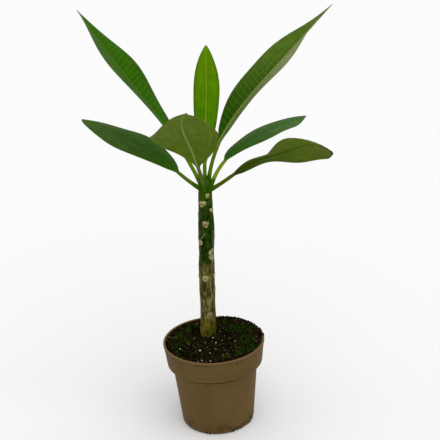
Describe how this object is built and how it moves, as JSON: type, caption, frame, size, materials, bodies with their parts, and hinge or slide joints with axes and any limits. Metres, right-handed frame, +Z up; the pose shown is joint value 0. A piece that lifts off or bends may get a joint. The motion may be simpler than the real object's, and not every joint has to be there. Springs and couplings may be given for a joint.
{
  "type": "potted frangipani",
  "caption": "Young frangipani: an upright cane with a crown of long pointed leaves, rooted in a round plastic nursery pot full of peat. Stands on its own base.",
  "frame": {"origin": "middle of the pot's underside, on the pot's axis", "axes": "+Z up along the pot's axis, +X to the right and +Y to the back, seen from the side that the front leaf leans out to"},
  "size_m": [0.3122, 0.3221, 0.4778],
  "materials": {
    "pot_plastic": "taupe brown moulded plastic, matt, with soil marks at its foot",
    "potting_soil": "damp dark peat with white grains and moss",
    "cane_bark": "smooth living bark, green above and grey brown below, with pale leaf scars",
    "leaf_green": "leathery dark green leaf, paler olive below, with pale veins",
    "leaf_young": "fresh yellow green young leaf with a pale midrib"
  },
  "bodies": {
    "root": {"pot": "pot_plastic", "soil": "potting_soil", "cane": "cane_bark", "leaf_upper_left": "leaf_green", "leaf_centre": "leaf_young", "leaf_upper_right": "leaf_green", "leaf_lower_left": "leaf_green", "leaf_front": "leaf_green", "leaf_mid_right": "leaf_green", "leaf_lower_right": "leaf_green"}
  },
  "joints": []
}
